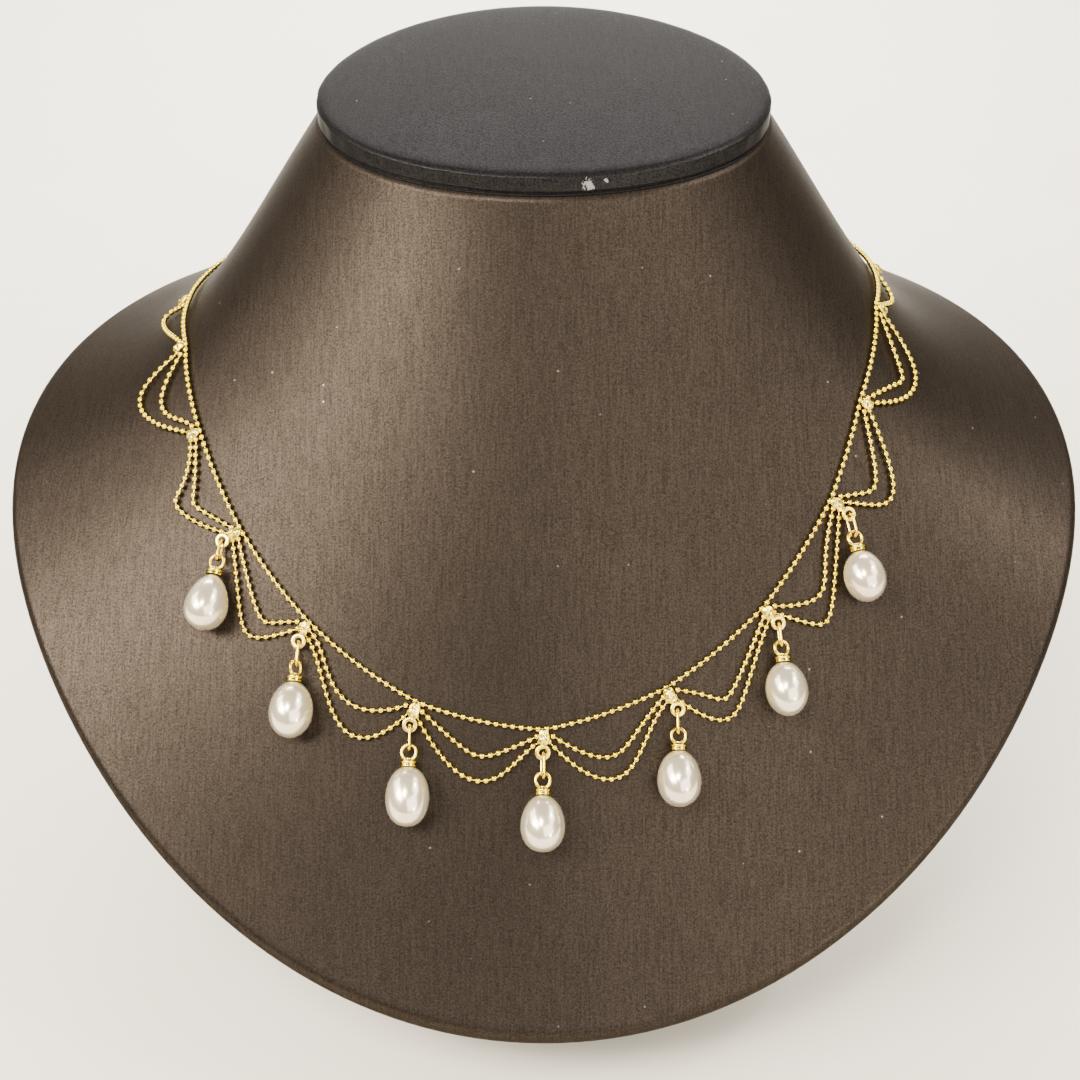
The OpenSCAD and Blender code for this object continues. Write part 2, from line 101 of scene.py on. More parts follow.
# First angle, first level, second angle, second level of the two pulls of each festoon chain
INNER = [
    [-90, 0.8, -73, 0.5],
    [-64, 0.68, -60, 0.54],
    [-47, 0.62, -54, 0.62],
    [-34, 0.65, -37, 0.63],
    [-26, 0.59, -27, 0.69],
    [-6, 0.66, -9, 0.66],
    [10, 0.68, 8, 0.64],
    [24, 0.63, 19, 0.66],
    [40, 0.63, 35, 0.57],
    [50, 0.56, 48, 0.59],
    [67, 0.52, 60, 0.56],
    [75, 0.41, 79, 0.54],
]
OUTER = [
    None,
    [-72, 0.8, -60, 0.58],
    [-49, 0.61, -58, 0.7],
    [-36, 0.67, -39, 0.69],
    [-26, 0.6, -25, 0.76],
    [-6, 0.74, -4, 0.64],
    [11, 0.74, 10, 0.63],
    [24, 0.7, 22, 0.64],
    [38, 0.65, 34, 0.66],
    [49, 0.57, 51, 0.68],
    [58, 0.48, 68, 0.68],
    None,
]
# Angle and level of places on the main chain's way behind the neck
BACK_LEFT = [[-173.5, 0.45], [-165, 0.45], [-150, 0.47], [-135, 0.5],
             [-120, 0.54], [-108, 0.57], [-99, 0.58], [-91, 0.57]]
BACK_RIGHT = [[93, 0.46], [101, 0.46], [110, 0.46], [122, 0.46],
              [136, 0.45], [150, 0.45], [165, 0.45], [173.5, 0.45]]

# Pearl width, length, egg and fullness; the drop's swing, the twists of its link and its cap, how
# far out and along its ring sits, and how much shorter its link is
DROPS = np.array([
    [7.3, 9.9, 0.2, 1, -2.5, 8, 4, 2.5, 0, 0.7],
    [7.4, 9.6, 0.06, 1, -4, 22, 62, 2.4, 1.1, 0],
    [7.3, 9.9, 0.04, 0.88, -4, 12, 6, 2.9, 0.4, 0],
    [7.4, 9.4, 0.1, 0.95, 0, 14, 0, 2.8, -0.4, 0],
    [7.35, 9.4, 0.08, 0.95, 5, -14, -4, 3, 0, 0.1],
    [7.2, 9.2, 0.04, 1, 3, -8, 6, 2.55, -0.3, 0.2],
    [7.2, 9, 0.05, 1, 3, 10, -6, 2.75, -0.8, 0.1],
])
PEARL_W, PEARL_L, PEARL_EGG, PEARL_FULL, SWING = DROPS.T[:5]
LINK_TWIST, CAP_TWIST, RING_OUT, RING_ALONG, LINK_CUT = DROPS.T[5:]

CHAIN_H = CHAIN_GAP + BEAD_D / 2
PLATE_H = CHAIN_H + BEAD_D / 2 + FIT + PLATE_T / 2
RING_H = PLATE_H + RING_LIFT
RING_R = (RING_D - RING_WIRE) / 2
LOOP_R = LOOP_IN_R + RING_WIRE / 2
LINK_BEND_R = (LINK_W - LINK_WIRE) / 2
# Distances of each drop's parts down its axis from the middle of its ring
LINK_INNER_L = LINK_L - LINK_CUT - 2 * LINK_WIRE
LINK_MID = RING_R - RING_WIRE / 2 - LINK_FIT + LINK_INNER_L / 2
LOOP_MID = LINK_MID + LINK_INNER_L / 2 - LINK_FIT - RING_WIRE / 2 + LOOP_R + LOOP_STRETCH / 2
COLLAR_TOP = LOOP_MID + LOOP_STRETCH / 2 + LOOP_R
PEARL_TOP = COLLAR_TOP + COLLAR_H - PEARL_SEAT


# The bust's skin


def sind(a):
    """Sine of an angle in degrees."""
    return np.sin(np.radians(a))


def cosd(a):
    """Cosine of an angle in degrees."""
    return np.cos(np.radians(a))


def vec(x, y, z):
    """Stacks three arrays of one shape into points."""
    return np.stack(np.broadcast_arrays(x, y, z), axis=-1).astype(float)


def unit(v):
    """Vectors of length 1 in the same directions."""
    return v / np.linalg.norm(v, axis=-1, keepdims=True)


def dot(a, b):
    """Dot product of each pair of vectors in two arrays."""
    return (a * b).sum(-1, keepdims=True)


def around(column, angle):
    """One column of SECTIONS at any angle: a uniform cubic B-spline, mirrored at front and back."""
    q = np.asarray(angle, float) / SECTION_STEP
    i = np.floor(q)
    f = q - i
    weights = [(1 - f) ** 3, 3 * f**3 - 6 * f * f + 4, -3 * f**3 + 3 * f * f + 3 * f + 1, f**3]
    turn = 360 // SECTION_STEP
    total = 0
    for k, w in enumerate(weights):
        row = (i.astype(int) - 1 + k) % turn
        total = total + w * SECTIONS[np.minimum(row, turn - row), column]
    return total / 6


def out_dir(a):
    """Level direction away from the neck at an angle."""
    return vec(sind(a), -cosd(a), 0)


UP = np.array([0.0, 0.0, 1.0])
front_reach = around(RIM_R, 0) + RIM_ROUND * (1 - sind(around(RIM_FALL, 0)))
back_reach = around(RIM_R, 180) + RIM_ROUND * (1 - sind(around(RIM_FALL, 180)))
NECK_Y = float((front_reach - back_reach) / 2)
NECK_AXIS = np.array([0, NECK_Y, 0])


def neck_ring(a, inset=0.0):
    """The neck's egg-shaped top seen from above, drawn in by an inset."""
    return (
        (NECK_HALF_W - inset) * sind(a) * (1 + NECK_EGG * cosd(a)),
        -(NECK_HALF_D - inset) * cosd(a),
    )


def tilt_rise(y):
    """How much higher the tilted cap is at y than over the neck's middle."""
    return math.tan(math.radians(CAP_TILT)) * y


def cubic(p0, p1, p2, p3, t):
    """Cubic Bezier curve through p0 and p3 with the pulls p1 and p2."""
    return (1 - t) ** 3 * p0 + 3 * t * (1 - t) ** 2 * p1 + 3 * t * t * (1 - t) * p2 + t**3 * p3


def rim_point(a):
    """Where the skin meets the rim's rounding, from the sections' radius and height."""
    return around(RIM_R, a)[..., None] * out_dir(a) + around(RIM_Z, a)[..., None] * UP


def skin(a, t):
    """The skin: at each angle one cubic Bezier curve from the neck's top (t = 0) to the rim (t = 1).
    Its first pull follows the neck's lean, its second the skin's fall at the rim."""
    a, t = np.broadcast_arrays(np.asarray(a, float), np.asarray(t, float))
    x, y = neck_ring(a)
    p0 = vec(x, y, CAP_HEIGHT - CAP_T + tilt_rise(y))
    p3 = rim_point(a)
    lean, fall = around(NECK_LEAN, a)[..., None], around(RIM_FALL, a)[..., None]
    p1 = p0 + NECK_PULL * (sind(lean) * out_dir(a) - cosd(lean) * UP)
    p2 = p3 - RIM_PULL * (cosd(fall) * out_dir(a) - sind(fall) * UP)
    return NECK_AXIS + cubic(p0, p1, p2, p3, t[..., None])


# Step for slopes, in degrees and in levels
SMALL = 0.001


def skin_slopes(a, t):
    """How the skin's point moves per degree and per level."""
    by_angle = (skin(a + SMALL, t) - skin(a - SMALL, t)) / (2 * SMALL)
    by_level = (skin(a, t + SMALL) - skin(a, t - SMALL)) / (2 * SMALL)
    return by_angle, by_level


def skin_normal(a, t):
    """Direction off the skin: the cross product of its two slopes."""
    by_angle, by_level = skin_slopes(a, t)
    return unit(np.cross(by_level, by_angle))


def above_skin(places, h):
    """Points at a height off the skin, each along the skin's own normal."""
    a, t = places[..., 0], places[..., 1]
    return skin(a, t) + h * skin_normal(a, t)


def step_on_skin(place, v):
    """The place reached by a short step v in the tangent plane: least squares on the two slopes."""
    by_angle, by_level = skin_slopes(place[0], place[1])
    return place + np.linalg.lstsq(np.stack([by_angle, by_level], 1), v, rcond=None)[0]


# Stations and chain routes


def station_place(i):
    """Angle and level of a station."""
    return STATIONS[i, :2]


def station_frame(i):
    """Along the chain to the viewer's right, outwards from the neck, and off the skin."""
    last = len(STATIONS) - 1
    up = skin_normal(*station_place(i))
    ahead = above_skin(station_place(min(i + 1, last)), CHAIN_H)
    behind = above_skin(station_place(max(i - 1, 0)), CHAIN_H)
    run = ahead - behind
    along = unit(run - (run @ up) * up)
    return along, np.cross(along, up), up


def main_place(i, ahead):
    """Where the main chain crosses a station, one lane inwards and a step ahead along it."""
    along, out, _ = station_frame(i)
    return step_on_skin(station_place(i), ahead * along - LANE_W * out)


def fan_of(i, side):
    """Angle by which the festoons fan out before (side -1) or after (side 1) a station."""
    return STATIONS[i, 2 if side < 0 else 3]


def inner_end(i, side):
    """Where an inner festoon chain meets a station: beside it, further along as the fan opens."""
    along, _, _ = station_frame(i)
    reach = FIT + (BEAD_D / 2 + LANE_W) * sind(fan_of(i, side))
    return step_on_skin(station_place(i), side * reach * along)


def outer_end(i, side):
    """Where an outer festoon chain meets a station: a lane outwards that turns with the fan."""
    along, out, _ = station_frame(i)
    fan = fan_of(i, side)
    reach = FIT + BEAD_D / 2 * sind(fan)
    return step_on_skin(station_place(i), side * reach * along + LANE_W * cosd(fan) * out)


def strand_places(start, pull, end, count=240):
    """A festoon chain's route: a cubic Bezier curve in angle and level, with two pulls."""
    t = np.linspace(0, 1, count)[:, None]
    return cubic(start, np.array(pull[:2]), np.array(pull[2:]), end, t)


def main_places(per_stretch=40):
    """The main chain's route: straight stretches between given places, on the skin."""
    middle = [main_place(i, d) for i in range(len(STATIONS)) for d in (-PLATE_W / 2, PLATE_W / 2)]
    stops = np.vstack([BACK_LEFT, middle, BACK_RIGHT])
    s = np.linspace(0, len(stops) - 1, (len(stops) - 1) * per_stretch + 1)
    k = np.arange(len(stops))
    return np.stack([np.interp(s, k, stops[:, 0]), np.interp(s, k, stops[:, 1])], 1)


# Surfaces as grids of points


NO_TRIANGLES = np.zeros((0, 3), int)


def grid_faces(rows, cols, close_cols=True, close_rows=False):
    """Four-cornered faces between neighbouring rows and columns of a grid of points."""
    r = np.arange(rows if close_rows else rows - 1)
    c = np.arange(cols if close_cols else cols - 1)
    r, c = (x.ravel() for x in np.meshgrid(r, c, indexing="ij"))
    r1, c1 = (r + 1) % rows, (c + 1) % cols
    return np.stack([r * cols + c, r1 * cols + c, r1 * cols + c1, r * cols + c1], 1)


def capped_grid(points, first_pole, last_pole):
    """A grid of rings closed at both ends by a pole. Returns its points, quads and triangles."""
    rows, cols = points.shape[:2]
    quads = grid_faces(rows, cols)
    c = np.arange(cols)
    c1 = (c + 1) % cols
    first, last = rows * cols, rows * cols + 1
    start = np.stack([np.full(cols, first), c, c1], 1)
    end = np.stack([np.full(cols, last), (rows - 1) * cols + c1, (rows - 1) * cols + c], 1)
    return np.vstack([points.reshape(-1, 3), first_pole, last_pole]), quads, np.vstack([start, end])


def joined(parts):
    """Several (points, quads, triangles) as one."""
    points, quads, tris, n = [], [], [], 0
    for p, q, t in parts:
        points.append(p)
        quads.append(np.asarray(q, int).reshape(-1, 4) + n)
        tris.append(np.asarray(t, int).reshape(-1, 3) + n)
        n += len(p)
    return np.vstack(points), np.vstack(quads), np.vstack(tris)


def flipped(part):
    """The same surface with each face's corners in the opposite order."""
    p, q, t = part
    return p, np.asarray(q, int).reshape(-1, 4)[:, ::-1], np.asarray(t, int).reshape(-1, 3)[:, ::-1]


def solid_volume(part):
    """Signed volume, positive where the faces point outwards."""
    p, q, t = part
    tri = np.vstack([q[:, [0, 1, 2]], q[:, [0, 2, 3]], t])
    a, b, c = (p[tri[:, k]] for k in range(3))
    return float((a * np.cross(b, c)).sum() / 6)


def outward(part):
    """The same closed surface with its faces pointing outwards."""
    return part if solid_volume(part) > 0 else flipped(part)


def tube(path, radius, sides, off, closed=False):
    """A circle of given radius carried along a path. Its first point lies in the direction off, made
    square to the run."""
    path = np.asarray(path, float)
    if closed:
        run = unit(np.roll(path, -1, 0) - np.roll(path, 1, 0))
    else:
        run = unit(np.gradient(path, axis=0))
    off = np.broadcast_to(off, path.shape)
    up = unit(off - dot(off, run) * run)
    side = np.cross(run, up)
    turn = np.linspace(0, 2 * np.pi, sides, endpoint=False)[None, :, None]
    rings = path[:, None] + radius * (np.cos(turn) * up[:, None] + np.sin(turn) * side[:, None])
    if closed:
        quads = grid_faces(len(path), sides, close_rows=True)
        return outward((rings.reshape(-1, 3), quads, NO_TRIANGLES))
    return outward(capped_grid(rings, path[0], path[-1]))


def turned(profile, cols=48):
    """A profile of (radius, height) rows turned about Z. The first and last rows are on the axis."""
    profile = np.asarray(profile, float)
    turn = np.linspace(0, 2 * np.pi, cols, endpoint=False)[None, :]
    r, z = profile[1:-1, 0:1], profile[1:-1, 1:2]
    rings = vec(r * np.cos(turn), r * np.sin(turn), z + 0 * turn)
    return outward(capped_grid(rings, [0, 0, profile[0, 1]], [0, 0, profile[-1, 1]]))


def placed(part, at, x, y, z):
    """Carries a part's own X, Y and Z to three directions and its origin to a point."""
    p, q, t = part
    return np.asarray(at) + p @ np.stack([x, y, z]), q, t


def smooth_profile(rows, steps=6):
    """A Catmull-Rom curve through the rows of a profile, which rounds its corners a little."""
    rows = np.asarray(rows, float)
    ends = np.vstack([2 * rows[0] - rows[1], rows, 2 * rows[-1] - rows[-2]])
    t = np.linspace(0, 1, steps, endpoint=False)[:, None]
    out = []
    for k in range(1, len(ends) - 2):
        a, b, c, d = ends[k - 1:k + 3]
        square, cube = 2 * a - 5 * b + 4 * c - d, 3 * b - a - 3 * c + d
        out.append(0.5 * (2 * b + (c - a) * t + square * t**2 + cube * t**3))
    out = np.vstack(out + [rows[-1:]])
    out[:, 0] = np.maximum(out[:, 0], 0)
    return out


def wire_oval(bend_r, straight, wire, sides=16, bend_steps=20):
    """A flat oval of round wire in the XZ plane: two half circles joined by straight sides."""
    turn = np.linspace(0, np.pi, bend_steps)
    top = vec(bend_r * np.cos(turn), 0, straight / 2 + bend_r * np.sin(turn))
    bottom = vec(-bend_r * np.cos(turn), 0, -straight / 2 - bend_r * np.sin(turn))
    return tube(np.vstack([top, bottom]), wire / 2, sides, [0, 1, 0], closed=True)


def ring_part(mid_r, wide, thick, square=1.0, cols=56, sides=20):
    """A ring in the XY plane with a rounded section: the points (wide cos, thick sin) of an ellipse,
    each term raised to a power; a power under 1 makes the section squarer, like a washer's."""
    turn = np.linspace(0, 2 * np.pi, cols, endpoint=False)[:, None]
    lap = np.linspace(0, 2 * np.pi, sides, endpoint=False)[None, :]
    r = mid_r + wide / 2 * np.sign(np.cos(lap)) * abs(np.cos(lap)) ** square
    z = thick / 2 * np.sign(np.sin(lap)) * abs(np.sin(lap)) ** square
    points = vec(r * np.cos(turn), r * np.sin(turn), z)
    quads = grid_faces(cols, sides, close_rows=True)
    return outward((points.reshape(-1, 3), quads, NO_TRIANGLES))


# Share of the normal along X where the brushing starts to turn, and the band over which it turns
SIDE_FROM, SIDE_BAND = 0.62, 0.16


def mark_sides(mesh):
    """Attribute "side" for the brushing: the share of a point's normal that lies along X, against Y,
    raised from 0 to 1 over the band where the front turns into the flank."""
    normals = np.empty(len(mesh.vertices) * 3, np.float32)
    mesh.vertex_normals.foreach_get("vector", normals)
    normals = abs(normals.reshape(-1, 3))
    lean = normals[:, 0] / (normals[:, 0] + normals[:, 1] + 1e-6)
    side = mesh.attributes.new("side", "FLOAT", "POINT")
    side.data.foreach_set("value", np.clip((lean - SIDE_FROM) / SIDE_BAND, 0, 1))


def piece(name, part, material, node):
    """A finished piece: its mesh in metres, its finish, the body it rides on, and the solid that it
    stands for. Leatherette also gets the attribute that steers its brushing."""
    points, quads, tris = part
    mesh = bpy.data.meshes.new(name)
    mesh.vertices.add(len(points))
    mesh.vertices.foreach_set("co", (points * MM).astype(np.float32).ravel())
    corners = np.concatenate([quads.ravel(), tris.ravel()]).astype(np.int32)
    sizes = np.concatenate([np.full(len(quads), 4), np.full(len(tris), 3)])
    mesh.loops.add(len(corners))
    mesh.loops.foreach_set("vertex_index", corners)
    mesh.polygons.add(len(sizes))
    starts = np.concatenate([[0], np.cumsum(sizes)[:-1]]).astype(np.int32)
    mesh.polygons.foreach_set("loop_start", starts)
    mesh.polygons.foreach_set("use_smooth", np.ones(len(sizes), bool))
    mesh.update(calc_edges=True)
    mesh.validate()
    mesh.materials.append(material)
    if material.name.endswith("leatherette"):
        mark_sides(mesh)
    thing = bpy.data.objects.new(name, mesh)
    bpy.context.scene.collection.objects.link(thing)
    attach(thing, "root")
    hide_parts(node)
    return thing


# Finishes
SKIN_DEEP, SKIN_PALE = (0.0160, 0.0125, 0.0098), (0.0410, 0.0322, 0.0248)
CAP_DEEP, CAP_PALE = (0.008, 0.0075, 0.0076), (0.024, 0.0224, 0.0227)
# Colour of the painted glints, pale specks of painted highlight, and of the pale worn spots
PAINTED_GLINT, WORN = (0.45, 0.40, 0.33), (0.27, 0.26, 0.25)
# Waves of the brushing in a metre, and what its coordinates are scaled by along the streaks
BRUSH_WAVES, ALONG_STREAK = 3600, 0.05


def shader(name):
    """A new material, its node tree and its main shader."""
    material = bpy.data.materials.new(name)
    material.use_nodes = True
    tree = material.node_tree
    return material, tree, tree.nodes["Principled BSDF"]


def add(tree, kind, links=(), **settings):
    """One node. Settings name its sockets, or its own properties; links are (socket, source) pairs."""
    node = tree.nodes.new(kind)
    for key, value in settings.items():
        if key in node.inputs:
            node.inputs[key].default_value = value
        else:
            setattr(node, key, value)
    for socket, source in links:
        tree.links.new(source, node.inputs[socket])
    return node


def object_place(tree, scale=(1, 1, 1)):
    """Object coordinates stretched by a scale."""
    spot = add(tree, "ShaderNodeTexCoord")
    stretch = add(tree, "ShaderNodeMapping", [("Vector", spot.outputs["Object"])])
    stretch.inputs["Scale"].default_value = scale
    return stretch.outputs["Vector"]


def noise(tree, place, scale, detail=3, rough=0.5):
    """Noise between 0 and 1; the scale counts its coarsest waves in a metre."""
    settings = {"Scale": scale, "Detail": detail, "Roughness": rough}
    return add(tree, "ShaderNodeTexNoise", [("Vector", place)], **settings).outputs["Fac"]


def spread(tree, value, low, high, to_low=0.0, to_high=1.0):
    """Maps a value from one range to another, held inside it."""
    ranges = {"From Min": low, "From Max": high, "To Min": to_low, "To Max": to_high}
    return add(tree, "ShaderNodeMapRange", [("Value", value)], **ranges).outputs["Result"]


def maths(tree, kind, a, b):
    """One sum, product or the like of two values, each a number or a socket."""
    node = add(tree, "ShaderNodeMath", operation=kind)
    for k, v in enumerate((a, b)):
        if isinstance(v, (int, float)):
            node.inputs[k].default_value = v
        else:
            tree.links.new(v, node.inputs[k])
    return node.outputs["Value"]


def mix_colour(tree, share, a, b):
    """Mixes two colours, each a tuple or a socket, by a share that is a number or a socket."""
    node = add(tree, "ShaderNodeMix", data_type="RGBA")
    for socket, v in ((node.inputs[0], share), (node.inputs[6], a), (node.inputs[7], b)):
        if isinstance(v, tuple):
            socket.default_value = (*v, 1)
        elif isinstance(v, (int, float)):
            socket.default_value = v
        else:
            tree.links.new(v, socket)
    return node.outputs[2]


def bump(tree, height, distance, strength):
    """Fine relief from a height between 0 and 1, as deep as the distance in metres times strength."""
    relief = add(tree, "ShaderNodeBump", [("Height", height)], Distance=distance, Strength=strength)
    return relief.outputs["Normal"]


def spot_mask(tree, centre, radius, ragged):
    """1 inside a ragged spot round a centre in metres, 0 outside it."""
    place = object_place(tree)
    wander = noise(tree, place, 1500, 4, 0.7)
    away = add(tree, "ShaderNodeVectorMath", [(0, place)], operation="DISTANCE")
    away.inputs[1].default_value = centre
    edge = maths(tree, "ADD", away.outputs["Value"], maths(tree, "MULTIPLY", wander, ragged))
    return spread(tree, edge, radius + ragged * 0.5, radius + ragged * 0.42)


def leatherette(name, deep, pale, brushed, edge_sheen, worn_spots=()):
    """Dark pearly leatherette: fine upright brushing mixed with a grain, soft clouds, a few tiny
    pale specks of painted glint and pale worn spots. Brushing varies along X where the attribute
    "side" is 0, along Y where it is 1. The edge sheen is how bright the finish gets at a grazing
    view."""
    material, tree, main = shader(name)
    facing = add(tree, "ShaderNodeAttribute", attribute_name="side").outputs["Fac"]
    front = noise(tree, object_place(tree, (1, ALONG_STREAK, ALONG_STREAK)), BRUSH_WAVES, 1)
    flank = noise(tree, object_place(tree, (ALONG_STREAK, 1, ALONG_STREAK)), BRUSH_WAVES, 1)
    by_side = [("Factor", facing), ("A", front), ("B", flank)]
    brushing = add(tree, "ShaderNodeMix", by_side, data_type="FLOAT")
    grain = noise(tree, object_place(tree), 3400, 2, 0.7)
    clouds = noise(tree, object_place(tree), 30, 3, 0.5)
    texture = maths(tree, "ADD", maths(tree, "MULTIPLY", brushing.outputs["Result"], brushed),
                    maths(tree, "MULTIPLY", grain, 1 - brushed))
    shade = mix_colour(tree, spread(tree, texture, 0.38, 0.62), deep, pale)
    shade = mix_colour(tree, spread(tree, clouds, 0.3, 0.7, 0, 0.25), shade, deep)
    place = object_place(tree)
    # Sparse pale specks of painted glint: a highlight painted into the colour
    specks = add(tree, "ShaderNodeTexVoronoi", [("Vector", place)], Scale=420.0, Randomness=1.0)
    chosen = add(tree, "ShaderNodeSeparateColor", [("Color", specks.outputs["Color"])]).outputs[0]
    painted_glint = maths(tree, "MULTIPLY", maths(tree, "GREATER_THAN", chosen, 0.93),
                  spread(tree, specks.outputs["Distance"], 0.10, 0.04))
    shade = mix_colour(tree, maths(tree, "MULTIPLY", painted_glint, 0.35), shade, PAINTED_GLINT)
    rough = spread(tree, texture, 0.36, 0.64, 0.39, 0.31)
    for centre, radius, ragged in worn_spots:
        mask = spot_mask(tree, centre, radius, ragged)
        shade = mix_colour(tree, mask, shade, WORN)
        rough = maths(tree, "MAXIMUM", rough, maths(tree, "MULTIPLY", mask, 0.8))
    tree.links.new(shade, main.inputs["Base Color"])
    tree.links.new(rough, main.inputs["Roughness"])
    tree.links.new(bump(tree, texture, 0.00006, 0.6), main.inputs["Normal"])
    main.inputs["Metallic"].default_value = 0.65
    main.inputs["Specular IOR Level"].default_value = 0.0
    main.inputs["Specular Tint"].default_value = (edge_sheen, edge_sheen, edge_sheen, 1)
    return material


def polished_gold(name, pale, deep, low_rough, high_rough, lumps=0.00001):
    """Polished gold whose colour and gloss vary a little, with wear or lumps in its surface as deep
    as the given metres, and darker where it is seen edge on."""
    material, tree, main = shader(name)
    tone = noise(tree, object_place(tree), 700, 3, 0.6)
    wear = noise(tree, object_place(tree), 4500, 3, 0.6)
    shade = mix_colour(tree, spread(tree, tone, 0.35, 0.65), deep, pale)
    tree.links.new(shade, main.inputs["Base Color"])
    tree.links.new(spread(tree, wear, 0.3, 0.7, low_rough, high_rough), main.inputs["Roughness"])
    tree.links.new(bump(tree, wear, lumps, 0.4), main.inputs["Normal"])
    main.inputs["Metallic"].default_value = 1.0
    main.inputs["Specular Tint"].default_value = (0.45, 0.36, 0.22, 1)
    return material


def pearl_lustre(name):
    """Cream nacre: a soft warm body under a clear gloss, with slow colour clouds and faint relief."""
    material, tree, main = shader(name)
    clouds = noise(tree, object_place(tree), 160, 3, 0.5)
    fine = noise(tree, object_place(tree), 900, 3, 0.5)
    body = mix_colour(tree, spread(tree, clouds, 0.3, 0.7), (0.84, 0.73, 0.48), (0.85, 0.72, 0.53))
    tree.links.new(body, main.inputs["Base Color"])
    tree.links.new(spread(tree, fine, 0.3, 0.7, 0.20, 0.25), main.inputs["Roughness"])
    tree.links.new(bump(tree, clouds, 0.00010, 0.2), main.inputs["Normal"])
    main.inputs["Metallic"].default_value = 0.65
    main.inputs["Specular IOR Level"].default_value = 0.5
    main.inputs["Subsurface Weight"].default_value = 0.2
    main.inputs["Subsurface Radius"].default_value = (1.0, 0.8, 0.6)
    main.inputs["Subsurface Scale"].default_value = 0.0008
    main.inputs["Coat Weight"].default_value = 1.0
    main.inputs["Coat Roughness"].default_value = 0.06
    main.inputs["Coat IOR"].default_value = 1.9
    return material


def painted_board(name):
    """Dark matt board with a fine pressed grain."""
    deep, pale = (0.010, 0.0082, 0.0072), (0.022, 0.018, 0.0155)
    material, tree, main = shader(name)
    grain = noise(tree, object_place(tree), 900, 4, 0.6)
    tree.links.new(mix_colour(tree, grain, deep, pale), main.inputs["Base Color"])
    tree.links.new(spread(tree, grain, 0.3, 0.7, 0.55, 0.75), main.inputs["Roughness"])
    tree.links.new(bump(tree, grain, 0.00005, 0.5), main.inputs["Normal"])
    return material


# Bust


def bust_part(angles=240, skin_rows=120, rim_rows=12, under_rows=24):
    """The cover: the skin from neck to rim, an arc round the rim, then a quadratic curve in to the
    board, closed by a pole above the neck and one above the board."""
    a = np.linspace(0, 360, angles, endpoint=False)[None, :]
    upper = skin(a, np.linspace(0, 1, skin_rows)[:, None])

    fall = around(RIM_FALL, a)
    rim = rim_point(a)
    centre = rim - RIM_ROUND * (sind(fall)[..., None] * out_dir(a) + cosd(fall)[..., None] * UP)
    board = vec(BOARD_HALF_W * sind(a), -BOARD_HALF_D * cosd(a) - BOARD_AHEAD, BOARD_T + FIT)
    bow = vec(UNDER_SPREAD * board[..., 0], UNDER_SPREAD * board[..., 1],
              BOARD_T * (1 - UNDER_BOW) + around(RIM_Z, a) * UNDER_BOW)
    reach = np.hypot(rim[..., 0], rim[..., 1]) - np.hypot(bow[..., 0], bow[..., 1])
    end_turn = -np.degrees(np.arctan2(reach, np.maximum(rim[..., 2] - bow[..., 2], 1)))
    s = np.linspace(0, 1, rim_rows + 1)[1:, None]
    turn = (90 - fall) * (1 - s) + end_turn * s
    edge = centre + RIM_ROUND * (cosd(turn)[..., None] * out_dir(a) + sind(turn)[..., None] * UP)

    u = np.linspace(0, 1, under_rows + 1)[1:, None, None]
    under = (1 - u) ** 2 * edge[-1:] + 2 * u * (1 - u) * bow + u * u * board
    rows = np.concatenate([upper, NECK_AXIS + edge, NECK_AXIS + under])
    return outward(capped_grid(rows, rows[0].mean(0), rows[-1].mean(0)))


# Inset from the neck's outline and height of the cap's profile, both as shares of its thickness
CAP_PROFILE = [[6, 0.0], [0.5, 0.03], [0.1, 0.14], [-0.08, 0.4], [-0.08, 0.68], [0.05, 0.88],
               [0.25, 0.98], [0.7, 1.03], [1.8, 1.07], [3.5, 1.1], [5.5, 1.12], [7.2, 1.125]]
# Depth, number round the oval and turn in degrees of the tucks
TUCKS = [(0.05, 23, 0), (0.05, 41, 60), (0.04, 7, 20)]
# What the cap gains in thickness per mm towards the back, as a share
THICKER = 0.004


def cap_part(cols=360):
    """The padded oval: a profile of inset and height carried round the neck's top, a little thicker
    at the back. Its top swells and dips by a sum of slow waves. Its lip is pulled in by tucks, a
    sum of sines round the oval that is strongest about halfway up."""
    profile = smooth_profile(CAP_PROFILE, 8)
    inset, rise = profile[:, 0:1] * CAP_T, profile[:, 1:2] * CAP_T
    a = np.linspace(0, 360, cols, endpoint=False)[None, :]
    lip = np.exp(-((profile[:, 1:2] - 0.55) / 0.35) ** 2)
    tucks = sum(depth * sind(number * a + turn) for depth, number, turn in TUCKS)
    x, y = neck_ring(a, inset - lip * tucks + 0.03)
    swell = 0.10 * np.sin(x / 13) * np.cos(y / 11 + 1) - 0.06 * np.cos(x / 29 + 1)
    thick = rise * (1 + THICKER * y)
    z = CAP_HEIGHT - CAP_T + tilt_rise(y) + thick + swell * np.clip(rise / CAP_T - 0.6, 0, 1)
    rings = vec(x, y, z) + NECK_AXIS
    return outward(capped_grid(rings, rings[0].mean(0), rings[-1].mean(0)))


# Chains
BEAD_PITCH = 1.42
BEAD_SWELL, BEAD_VARIES, BEAD_AIM = 1.20, 0.015, 0.3
CONNECTING_WIRE = 0.24


def bead_shape(segments=10, rings=5):
    """A ball whose poles lie on X, where the wire goes through: points, quads and triangles."""
    tilt = np.linspace(0, np.pi, rings + 2)[1:-1, None]
    turn = np.linspace(0, 2 * np.pi, segments, endpoint=False)[None, :]
    points = vec(np.cos(tilt), np.sin(tilt) * np.cos(turn), np.sin(tilt) * np.sin(turn))
    return outward(capped_grid(points, [1, 0, 0], [-1, 0, 0]))


def along_line(line, gone, at):
    """Points of a line at given lengths along it, by straight interpolation."""
    return np.stack([np.interp(at, gone, line[:, k]) for k in range(3)], 1)


